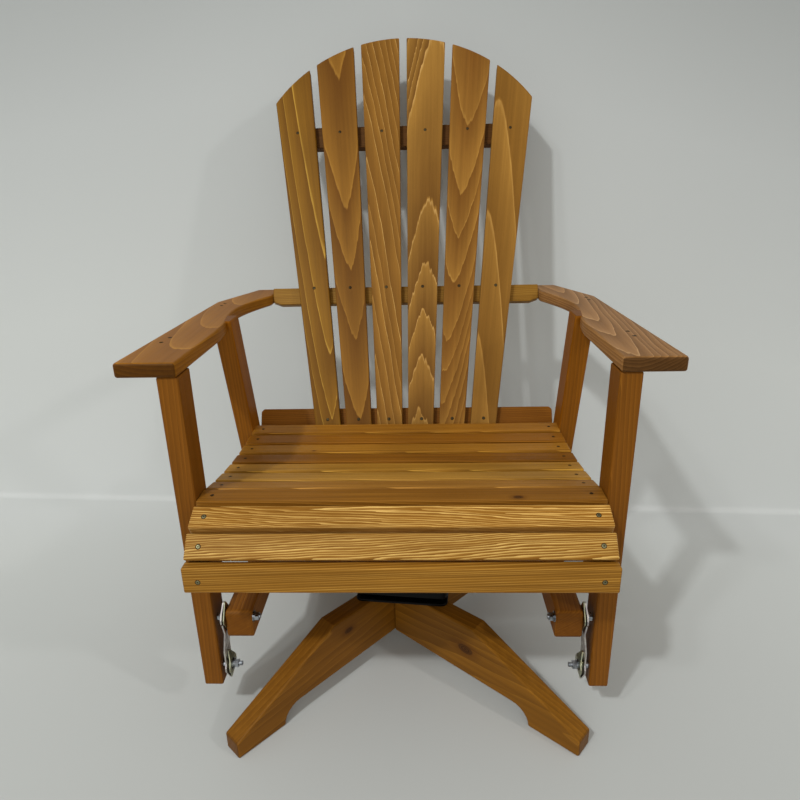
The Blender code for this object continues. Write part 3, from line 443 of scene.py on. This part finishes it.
# Boards: the back. Tips are where each slat's arched lines end, up the slat from the seat, times its way
BACK_LOOKS = (
    dict(crown=-0.01, crown_drift=-0.08, steep_right=0.08, steep_left=0.08, power=1.3,
         tips=(-0.35, -0.2, -0.09, 0.0, 0.14, 0.34, 0.76, 0.95), wave=0.003, jag=0.018,
         dark="69410B", light="8C6119", pale="BF943B", line=0.85),
    dict(crown=-0.005, crown_drift=0.0, steep_right=0.07, steep_left=0.055, power=1.4,
         tips=(-0.17, 0.0, 0.18, 0.34, 0.48, 0.81, 1.0), wave=0.009, jag=0.030,
         dark="603708", light="8F6120", pale="AF8035", line=0.45),
    dict(crown=0.08, crown_drift=-0.04, steep_right=0.07, steep_left=0.05, power=1.2, way=-1.0,
         tips=(-1.35, -1.28, -1.21, -1.14, -1.07, -1.0, -0.93, -0.87, -0.8, -0.67, -0.58, -0.52,
               -0.43, -0.34, -0.25, -0.15), wave=0.014, jag=0.014,
         dark="744A14", light="9B6C2A", pale="D7AD66", line=0.8),
    dict(crown=0.006, crown_drift=-0.03, steep_right=0.03, steep_left=0.06, power=1.4, way=-1.0,
         tips=(-1.05, -0.99, -0.93, -0.5, -0.35, -0.24, -0.14, -0.02, 0.1), wave=0.004, jag=0.040,
         dark="6A4314", light="A47632", pale="DAAC67", line=0.75),
    dict(crown=0.025, crown_drift=-0.04, steep_right=0.06, steep_left=0.04, power=1.5,
         tips=(-0.25, -0.17, -0.1, -0.03, 0.03, 0.1, 0.17, 0.3, 0.41, 0.51, 0.68, 0.87, 1.0),
         wave=0.009, jag=0.024, dark="724614", light="9D6E2C", pale="C19146", line=0.45),
    dict(crown=0.04, crown_drift=-0.01, steep_right=0.05, steep_left=0.05, power=1.5, way=-1.0,
         tips=(-1.45, -1.25, -0.74, -0.47, -0.2, 0.05), wave=0.004, jag=0.014,
         dark="795019", light="A17330", pale="CC9C54", line=0.5),
)
for i, looks in enumerate(BACK_LOOKS):
    lean = (i - (len(BACK_LOOKS) - 1) / 2) * FAN_STEP
    grain = math.sin(lean) * X + math.cos(lean) * UP_BACK
    foot = BACK_ORIGIN + X * (math.tan(lean) * FAN_FOCUS)
    board(f"back_slat_{i + 1}", foot, grain, -REARWARD, seed=1.3 + i, **looks)

STRAIGHT = dict(crown=-0.08, steep_right=0.8, steep_left=0.8, power=1.0, spacing=0.16, wave=0.003)
BACK_RAILS = (
    ("back_rail_top", 0.6675, dict(dark="4A2B10", light="663F19", pale="7E572B")),
    ("back_rail_arm", 0.2832, dict(dark="764D13", light="9C732D", pale="B58F44")),
    ("back_rail_seat", 0.0015, dict(dark="703E0A", light="8F5817", pale="AD7529")),
)
for i, (name, up, tones) in enumerate(BACK_RAILS):
    board(name, BACK_ORIGIN + UP_BACK * up, X, -REARWARD, seed=11.0 + i, **STRAIGHT, **tones)

# Boards: seat slats and apron, the two golden ones in front close-grained and streaky
SEAT_TONES = (
    ("7A4E16", "A47329", "DBB265"), ("84561A", "AB762B", "E5B868"), ("6B4110", "99651F", "BD893C"),
    ("7A4F17", "B27C34", "DFA451"), ("875E1D", "C38F3E", "EFBE63"), ("7C5416", "BB842F", "EAB952"),
    ("683D08", "965F18", "BC7F2C"), ("815215", "B77D27", "E1A743"), ("73440D", "A2671A", "C78A2F"),
    ("7F4F13", "B07624", "D49B40"),
)
SEAT_KNOTS = {2: dict(knot_along=0.183, knot_across=-0.010, knot_size=0.0042),
              7: dict(knot_along=-0.173, knot_across=-0.012, knot_size=0.0017)}
FRONT_STREAKY = dict(steep_right=0.80, steep_left=0.80, power=1.15, wave=0.016, line=1.08, rim=0.58,
                     streak=0.45, sink=60.0, ripple=0.9)
FRONT_SLATS = (dict(FRONT_STREAKY, crown=-0.030, crown_drift=0.03, spacing=0.165, jag=0.20),
               dict(FRONT_STREAKY, crown=0.010, crown_drift=-0.03, spacing=0.175, jag=0.26))
FRONT_FACE = (Z - Y * 0.9).normalized()
slat_faces = []
for i, (dark, light, pale) in enumerate(SEAT_TONES):
    name = f"seat_slat_{i + 1:02d}"
    if i < len(FRONT_SLATS):
        centre, normal = flat_face(name, FRONT_FACE)
        looks = dict(FRONT_SLATS[i])
    else:
        centre, normal = flat_face(name, Z)
        looks = dict(STRAIGHT, crown=0.05 * (-1) ** i, wave=0.005, streak=1.0, rim=0.25, line=0.5)
    slat_faces.append((centre, normal))
    looks.update(SEAT_KNOTS.get(i, {}))
    board(name, centre, X, normal, seed=21.0 + 1.7 * i, dark=dark, light=light, pale=pale, **looks)
apron_point, apron_normal = flat_face("seat_apron", -Y)
board("seat_apron", apron_point, X, -Y, seed=41.0, **dict(
    STRAIGHT, crown_drift=0.012, line=0.58, rim=0.4, streak=1.0, jag=0.03,
    dark="7D5217", light="A67226", pale="CC9C4B"))

# Boards: legs, arms, seat sides, rails and cross members
ARM_LOOKS = {
    "left": dict(crown=-0.038, crown_drift=-0.06, steep_right=0.004, steep_left=0.0036, power=3.0,
                 tips=(-0.25, -0.10, 0.068, 0.212, 0.42, 0.60), wave=0.006, jag=0.010, end_shade=0.30,
                 dark="835115", light="A16919", pale="CC9235", line=0.40),
    "right": dict(crown=0.020, crown_drift=0.05, steep_right=0.11, steep_left=0.05, power=1.6,
                  spacing=0.125, ripple=1.2, wave=0.016, jag=0.030, end_shade=0.30,
                  dark="775027", light="A87947", pale="DEB47F", line=0.55),
}
FRONT_LEG = dict(STRAIGHT, tone=0.7, dark="6A3E0C", light="895214", pale="A47226", line=0.35)
REAR_LEG = dict(FRONT_LEG, dark="7B490A", light="A26113", pale="BE8124")
SEAT_SIDE = dict(STRAIGHT, dark="6C3F10", light="88581C", pale="A4762E")
GLIDER_RAIL = dict(STRAIGHT, dark="7E490F", light="9F631C", pale="B67D2E")
CROSS_MEMBER = dict(STRAIGHT, dark="6A3D10", light="86541C", pale="A2702C")
RAKED = Vector((0.0, -math.sin(REAR_RAKE), math.cos(REAR_RAKE)))
for side, word in ((-1, "left"), (1, "right")):
    leg = X * side * LEG_X + SHIFT
    board(f"leg_front_{word}", leg, Z, X * side, seed=51.0 + side, **FRONT_LEG)
    board(f"leg_rear_{word}", leg + Y * REAR_LEG_Y, RAKED, X * side, seed=55.0 + side, **REAR_LEG)
    board(f"arm_{word}", Vector((side * ARM_X, 0.0, ARM_TOP)) + SHIFT, Y + X * side * ARM_SPLAY, Z,
          seed=61.0 + 3 * side, **ARM_LOOKS[word])
    board(f"seat_side_{word}", X * side * SIDE_X + SHIFT + Z * SIDE_Z, Y, X * side,
          seed=67.0 + side, **SEAT_SIDE)
    board(f"glider_rail_{word}", X * side * RAIL_X + SHIFT + Z * RAIL_Z, Y, -X * side,
          seed=71.0 + side, **GLIDER_RAIL)
for at, word in ((-CROSS_Y, "front"), (CROSS_Y, "rear")):
    board(f"cross_member_{word}", SWIVEL + Y * at + Z * CROSS_Z, X, -Y, seed=75.0 + at, **CROSS_MEMBER)


def carve(node, outline, origin, first, second, through, ease):
    """A board with softly eased edges that stands for a CAD node, from its outline in a plane."""
    bm = bmesh.new()
    face = bm.faces.new([bm.verts.new(origin + first * a + second * b) for a, b in outline])
    grown = bmesh.ops.extrude_face_region(bm, geom=[face])["geom"]
    bmesh.ops.translate(bm, vec=through, verts=[v for v in grown if isinstance(v, bmesh.types.BMVert)])
    bmesh.ops.recalc_face_normals(bm, faces=bm.faces)
    mesh = bpy.data.meshes.new(f"look_{node}")
    bm.to_mesh(mesh)
    bm.free()
    mesh.materials.append(NODES[node].data.materials[0])
    obj = bpy.data.objects.new(f"look_{node}", mesh)
    bpy.context.scene.collection.objects.link(obj)
    soften = obj.modifiers.new("eased edges", "BEVEL")
    soften.width = ease
    soften.segments = 3
    soften.limit_method = "ANGLE"
    soften.angle_limit = EASED_ANGLE
    for polygon in mesh.polygons:
        polygon.use_smooth = True
    obj.modifiers.new("even normals", "WEIGHTED_NORMAL").weight = 90
    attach(obj, "chair")
    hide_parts(node)


def arm_plan():
    """The right arm from above, going round from its front outer corner."""
    inner = []
    for k in range(WAIST_STEPS + 1):
        y = TIP_Y + (WAIST_Y - TIP_Y) * k / WAIST_STEPS
        swell = math.cos(math.pi / 2 * (y - WAIST_Y) / (TIP_Y - WAIST_Y))
        inner.append((TIP_X + (WAIST_X - TIP_X) * swell, y))
    for k in range(1, WAIST_STEPS + 1):
        y = WAIST_Y + (WAIST_START_Y - WAIST_Y) * k / WAIST_STEPS
        swell = (1 + math.cos(math.pi * k / WAIST_STEPS)) / 2
        inner.append((INNER_X + (WAIST_X - INNER_X) * swell, y))
    outer = [(OUTER_X, FRONT_Y), (BEND_X, BEND_Y), (TIP_X + TIP_WIDE, END_Y), (TIP_X, END_Y)]
    return outer + inner + [(INNER_X, FRONT_Y)]


def rear_leg_side():
    """A rear leg from its side, going round from its lower front corner."""
    lean = (LEG_HIGH - LEG_LOW) * math.tan(REAR_RAKE)
    return [(REAR_FOOT_Y, LEG_LOW), (REAR_FOOT_Y + REAR_DEEP, LEG_LOW),
            (REAR_FOOT_Y + REAR_DEEP - lean, LEG_HIGH), (REAR_FOOT_Y - lean, LEG_HIGH)]


for side, word in ((-1, "left"), (1, "right")):
    carve(f"arm_{word}", arm_plan(), SHIFT + Z * (ARM_TOP - ARM_THICK), X * side, Y, Z * ARM_THICK,
          ARM_EASE)
    carve(f"leg_rear_{word}", rear_leg_side(), SHIFT + X * side * LEG_INNER, Y, Z, X * side * LEG_WIDE,
          LEG_EASE)
apron_low, apron_high = (Vector(corner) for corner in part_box("seat_apron"))
apron_half = apron_high.x + APRON_WIDER
apron_tall = apron_high.z - apron_low.z + APRON_HIGHER
carve("seat_apron",
      [(-apron_half, 0.0), (apron_half, 0.0), (apron_half, apron_tall), (-apron_half, apron_tall)],
      Vector((0.0, apron_low.y, apron_low.z)), X, Z, Y * (apron_high.y - apron_low.y), APRON_EASE)

# Boards: the base
BASE_WOOD = dict(steep_right=0.08, steep_left=0.10, power=1.4, spacing=0.21, wave=0.014, jag=0.03,
                 line=0.22, streak=0.55, tone=0.4, dark="613A0B", light="9D681D", pale="BA8B36")
BASE_LOOKS = {
    "front_left": dict(knot_along=0.158, knot_across=0.030, knot_size=0.0055, crown=0.05,
                       dark="5E3709", light="98631A", pale="B48431"),
    "front_right": dict(knot_along=0.177, knot_across=0.009, knot_size=0.009, crown=-0.05),
    "rear_right": dict(knot_along=0.230, knot_across=0.010, knot_size=0.006, crown=0.03),
    "rear_left": dict(knot_along=0.140, knot_across=-0.010, knot_size=0.008, crown=-0.04),
}
for i, (word, looks) in enumerate(BASE_LOOKS.items()):
    angle = BASE_TURN + math.radians(225 + 90 * i) + BASE_SPREAD / 2 * (-1 if i % 2 == 0 else 1)
    outward = math.cos(angle) * X + math.sin(angle) * Y
    aside = math.sin(angle) * X - math.cos(angle) * Y
    board(f"base_leg_{word}", SWIVEL + Z * BASE_Z + aside * BASE_HALF, outward, aside, seed=81.0 + i,
          **dict(BASE_WOOD, **looks))

# Metal, and the dark round the screws: gathered stain with painted shade
# Bright zinc: its dark patches are painted reflection
BRIGHT_ZINC = zinc("bright", "B4B8BE", 0.20, "3C444B")
BAR_ZINC = zinc("bar", "D2CBC4", 0.30, "A49C9E")
YELLOW_ZINC = zinc("yellow", "B9B695", 0.30, "8F9A8A")
DARK_ZINC = zinc("screw", "564B33", 0.52, "2B2212")
OLIVE_ZINC = zinc("screw_olive", "8E8A68", 0.42, "565238")
BLACK = paint("black_enamel", "050505", 0.46, 900.0, "0C0C0C")
# The dark of the countersinks and recesses: gathered stain and painted shade
SINK_STAIN_AND_SHADE = paint("sink_stain_and_shade", "2A1608", 0.6, 1200.0, "3A2210")
for end in ("front", "rear"):
    for word in ("left", "right"):
        dress(f"link_{end}_{word}", BAR_ZINC)
        dress(f"top_bearing_{end}_{word}", YELLOW_ZINC)
        dress(f"bottom_bearing_{end}_{word}", YELLOW_ZINC)
        dress(f"top_pivot_{end}_{word}", BRIGHT_ZINC)
        dress(f"bottom_pivot_{end}_{word}", BRIGHT_ZINC)
for name in ("swivel_lower_plate", "swivel_upper_plate", "swivel_race"):
    dress(name, BLACK)

# Screws: a countersunk head with a cross recess painted dark as its shade, in a ring of wood darkened by
# gathered stain and painted shade
SCREW_SIDES = 20
SCREW_RINGS = ((1.34, 0.00005), (1.12, 0.00034), (1.02, 0.00012), (0.97, 0.00030), (0.80, 0.00042))
RECESS_TOP, RECESS_FLOOR = 0.00046, 0.00010
RECESS_LONG, RECESS_HALF, RECESS_TAPER = 0.50, 0.12, 0.86
FIRST_TURN, NEXT_TURN = 0.4, 1.9
BACK_SCREW, FRONT_SCREW, SEAT_SCREW, ARM_SCREW = 0.0026, 0.0031, 0.0023, 0.0027
BACK_SCREW_ROWS = ((0.669, (0.245, 0.147, 0.050)), (0.295, (0.2015, 0.1207, 0.0403)),
                   (0.0, (0.1676, 0.1005, 0.035)))
SEAT_SCREW_X = 0.297
ARM_SCREWS = ((-0.382, 0.147), (-0.384, 0.115), (-0.378, 0.4435), (-0.378, 0.419),
              (0.3705, 0.146), (0.3715, 0.115), (0.378, 0.4435), (0.378, 0.419))


def ring_of(bm, radius, height):
    """A round of points about the screw's axis."""
    return [bm.verts.new((radius * math.cos(math.tau * i / SCREW_SIDES),
                          radius * math.sin(math.tau * i / SCREW_SIDES), height))
            for i in range(SCREW_SIDES)]


def bridge(bm, outer, inner, slot):
    """Faces between two rounds that have the same number of points."""
    for i in range(len(outer)):
        j = (i + 1) % len(outer)
        bm.faces.new((outer[i], outer[j], inner[j], inner[i])).material_index = slot


def screw_head(bm, place, radius):
    """One screw: its countersink, dark with gathered stain and painted shade, its domed rim and its recess,
    dark with painted shade, all within half a millimetre.
    """
    first = len(bm.verts)
    rings = [ring_of(bm, radius * share, height) for share, height in SCREW_RINGS]
    # The two outer bands are the countersink, dark with gathered stain and painted shade
    for k, slot in enumerate((0, 0, 1, 1)):
        bridge(bm, rings[k], rings[k + 1], slot)
    arm = radius * RECESS_LONG
    half = radius * RECESS_HALF
    outline = [(arm, half), (half, half), (half, arm), (-half, arm), (-half, half), (-arm, half),
               (-arm, -half), (-half, -half), (-half, -arm), (half, -arm), (half, -half), (arm, -half)]
    top = [bm.verts.new((x, y, RECESS_TOP)) for x, y in outline]
    floor = [bm.verts.new((x * RECESS_TAPER, y * RECESS_TAPER, RECESS_FLOOR)) for x, y in outline]
    # The recess's walls and floor are painted dark as its shade
    bridge(bm, top, floor, 0)
    bm.faces.new(floor).material_index = 0
    bm.verts.ensure_lookup_table()
    edges = [e for e in bm.edges if (e.verts[0] in rings[-1] and e.verts[1] in rings[-1])
             or (e.verts[0] in top and e.verts[1] in top)]
    for face in bmesh.ops.bridge_loops(bm, edges=edges)["faces"]:
        face.material_index = 1
    bmesh.ops.transform(bm, matrix=place, verts=bm.verts[first:])


def seated(point, normal, turn):
    """A placement on a surface, local Z along its normal."""
    away = normal.normalized()
    first = away.orthogonal().normalized()
    basis = Matrix((first, away.cross(first), away)).transposed().to_4x4()
    return Matrix.Translation(point) @ basis @ Matrix.Rotation(turn, 4, "Z")


def screws(name, places, radius, metal):
    """Screw heads of one size as one piece, each turned its own way."""
    bm = bmesh.new()
    for k, (point, normal) in enumerate(places):
        screw_head(bm, seated(point, normal, FIRST_TURN + NEXT_TURN * k), radius)
    bmesh.ops.recalc_face_normals(bm, faces=bm.faces)
    mesh = bpy.data.meshes.new(name)
    bm.to_mesh(mesh)
    bm.free()
    obj = bpy.data.objects.new(name, mesh)
    bpy.context.scene.collection.objects.link(obj)
    mesh.materials.append(SINK_STAIN_AND_SHADE)
    mesh.materials.append(metal)
    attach(obj, "chair")


def pair_at(point, normal, x):
    """Two screws on a face, as far to the left of the chair's middle as to the right."""
    return [(point + X * (side * x - point.x), normal) for side in (-1, 1)]


back_screws = []
for up, row in BACK_SCREW_ROWS:
    for x in row:
        back_screws += pair_at(BACK_ORIGIN + UP_BACK * up, -REARWARD, x)
seat_screws = []
for centre, normal in slat_faces:
    seat_screws += pair_at(centre, normal, SEAT_SCREW_X)
apron_screws = pair_at(apron_point, apron_normal, SEAT_SCREW_X)
front_count = 2 * len(FRONT_SLATS)
screws("back_screws", back_screws, BACK_SCREW, DARK_ZINC)
screws("seat_front_screws", seat_screws[:front_count] + apron_screws, FRONT_SCREW, OLIVE_ZINC)
screws("seat_screws", seat_screws[front_count:], SEAT_SCREW, DARK_ZINC)
arm_screws = [(Vector((x, y, ARM_TOP)) + SHIFT, Z) for x, y in ARM_SCREWS]
screws("arm_screws", arm_screws, ARM_SCREW, DARK_ZINC)

# Studio: pale paper from the floor up a leaning wall, and soft lamps
WALL_FOOT_Y = 0.405
WALL_LEAN = 0.125       # how far the wall leans back for each metre up
WALL_TURN = -0.052      # how far its foot comes forward for each metre to the right
WALL_HIGH = 4.5
COVE, COVE_STEPS = 0.018, 6
BEYOND_DROP, OVERLAP = 0.001, 0.4
WIDE = 30.0
# The paper's tones, with painted shade, go by the height on the wall, and on the floor by how far it is
# from the wall, negative: painted shade at the wall's top and the floor's front
PAPER_SHADE = ((-1.2, "B7B9B6"), (-0.10, "CCCECB"), (0.15, "D0D2D0"), (0.70, "CDCFCC"), (1.20, "BEC0BE"),
         (1.60, "A6A8A6"))
# The painted shade at the wall's top reaches lower towards the right and the left
RUN_RIGHT, RUN_LEFT = 0.30, 0.16    # how much higher a place counts for each metre to the side
KEY_TINT = (0.95, 0.985, 1.0)
ROOM_TINT, ROOM_LEVEL = (1.0, 0.985, 0.94, 1.0), 0.565


def stage_material(name):
    """Matt paper with painted shade: a little darker at the wall's top, towards its sides and to the right,
    and at the floor's front, clear when seen from behind.
    """
    made, g = new_material(name)
    place = g.add("ShaderNodeTexCoord").outputs["Object"]
    split = g.add("ShaderNodeSeparateXYZ", {0: place}).outputs
    run = g.plus(split[2], g.math("MINIMUM", g.minus(split[1], WALL_FOOT_Y), 0.0))
    run = g.plus(run, g.times(g.math("MAXIMUM", split[0], 0.0), RUN_RIGHT))
    run = g.plus(run, g.times(g.math("MINIMUM", split[0], 0.0), -RUN_LEFT))
    low, high = PAPER_SHADE[0][0], PAPER_SHADE[-1][0]
    stops = [((at - low) / (high - low), srgb(code)) for at, code in PAPER_SHADE]
    tone = g.ramp(g.spread(run, low, high), stops)
    cloud = g.noise(place, (0.9, 0.9, 0.9), 2.0)
    # Painted shade: a little darker to the right
    side = g.spread(split[0], -1.0, 1.0, 1.01, 0.97)
    shade = g.mix(1.0, tone, g.times(side, g.spread(cloud, 0.3, 0.7, 0.98, 1.02)), "MULTIPLY")
    shader = g.add("ShaderNodeBsdfPrincipled", {"Base Color": shade, "Roughness": 0.8,
                                                "Specular IOR Level": 0.2})
    behind = g.add("ShaderNodeNewGeometry").outputs["Backfacing"]
    one_way = g.add("ShaderNodeMixShader", {0: behind, 1: shader.outputs[0],
                                            2: g.add("ShaderNodeBsdfTransparent").outputs[0]})
    end_material(g, one_way.outputs[0])
    return made


def sweep():
    """A floor that turns up into a wall behind the chair, and the floor beyond it for views from behind."""
    line = [(-WIDE, 0.0)]
    for i in range(COVE_STEPS + 1):
        angle = i / COVE_STEPS * math.pi / 2
        line.append((WALL_FOOT_Y - COVE + COVE * math.sin(angle), COVE - COVE * math.cos(angle)))
    line.append((WALL_FOOT_Y + WALL_LEAN * WALL_HIGH, WALL_HIGH))
    paper = stage_material("studio_paper")
    beyond = [(WALL_FOOT_Y - OVERLAP, -BEYOND_DROP), (WIDE, -BEYOND_DROP)]
    for name, run in (("studio_sweep", line), ("studio_floor_beyond", beyond)):
        bm = bmesh.new()
        rows = [[bm.verts.new((x, y + x * WALL_TURN, z)) for x in (-WIDE, WIDE)] for y, z in run]
        for a, b in zip(rows, rows[1:]):
            bm.faces.new((a[0], a[1], b[1], b[0])).smooth = True
        mesh = bpy.data.meshes.new(name)
        bm.to_mesh(mesh)
        bm.free()
        obj = bpy.data.objects.new(name, mesh)
        bpy.context.scene.collection.objects.link(obj)
        mesh.materials.append(paper)


def lamp(name, at, aim, size, watts, colour=(1.0, 1.0, 1.0)):
    """A square or oblong lamp at one place, aimed at another."""
    light = bpy.data.lights.new(name, "AREA")
    light.shape = "RECTANGLE"
    light.size, light.size_y = size
    light.energy = watts
    light.color = colour
    obj = bpy.data.objects.new(name, light)
    bpy.context.scene.collection.objects.link(obj)
    obj.location = at
    obj.rotation_euler = (Vector(aim) - Vector(at)).to_track_quat("-Z", "Y").to_euler()


sweep()
lamp("key", (-1.75, -3.05, 3.95), (0.0, 0.1, 0.6), (0.20, 0.20), 79.0, KEY_TINT)
lamp("key_second", (-2.15, -2.75, 3.85), (0.0, 0.1, 0.6), (0.26, 0.26), 19.0, KEY_TINT)
lamp("fill", (3.1, -2.2, 2.6), (0.0, 0.1, 0.5), (0.22, 0.22), 22.0)
lamp("front", (-0.3, -4.6, 2.0), (0.0, 0.0, 0.5), (3.0, 2.0), 17.0)
world = bpy.data.worlds.new("room")
bpy.context.scene.world = world
world.use_nodes = True
room = world.node_tree.nodes["Background"]
room.inputs["Color"].default_value = ROOM_TINT
room.inputs["Strength"].default_value = ROOM_LEVEL

# Camera, fitted to the corners of the boards in the photograph
FOCAL, PICTURE = 618.59, 800    # in pixels
SENSOR = 36.0
CAMERA_PLACE = (0.0363, -1.21766, 0.91333)
PITCH, YAW, ROLL = (math.radians(a) for a in (19.777, -2.165, 1.335))
ahead = Vector((math.sin(YAW) * math.cos(PITCH), math.cos(YAW) * math.cos(PITCH), -math.sin(PITCH)))
level = Vector((math.cos(YAW), -math.sin(YAW), 0.0))
below = ahead.cross(level)
right = math.cos(ROLL) * level + math.sin(ROLL) * below
down = -math.sin(ROLL) * level + math.cos(ROLL) * below
camera = bpy.data.objects.new("camera", bpy.data.cameras.new("camera"))
bpy.context.scene.collection.objects.link(camera)
camera.data.sensor_fit = "HORIZONTAL"
camera.data.sensor_width = SENSOR
camera.data.lens = FOCAL / PICTURE * SENSOR
camera.matrix_world = (Matrix.Translation(CAMERA_PLACE)
                       @ Matrix((right, -down, -ahead)).transposed().to_4x4())
bpy.context.scene.camera = camera
bpy.context.scene.view_settings.view_transform = "Standard"
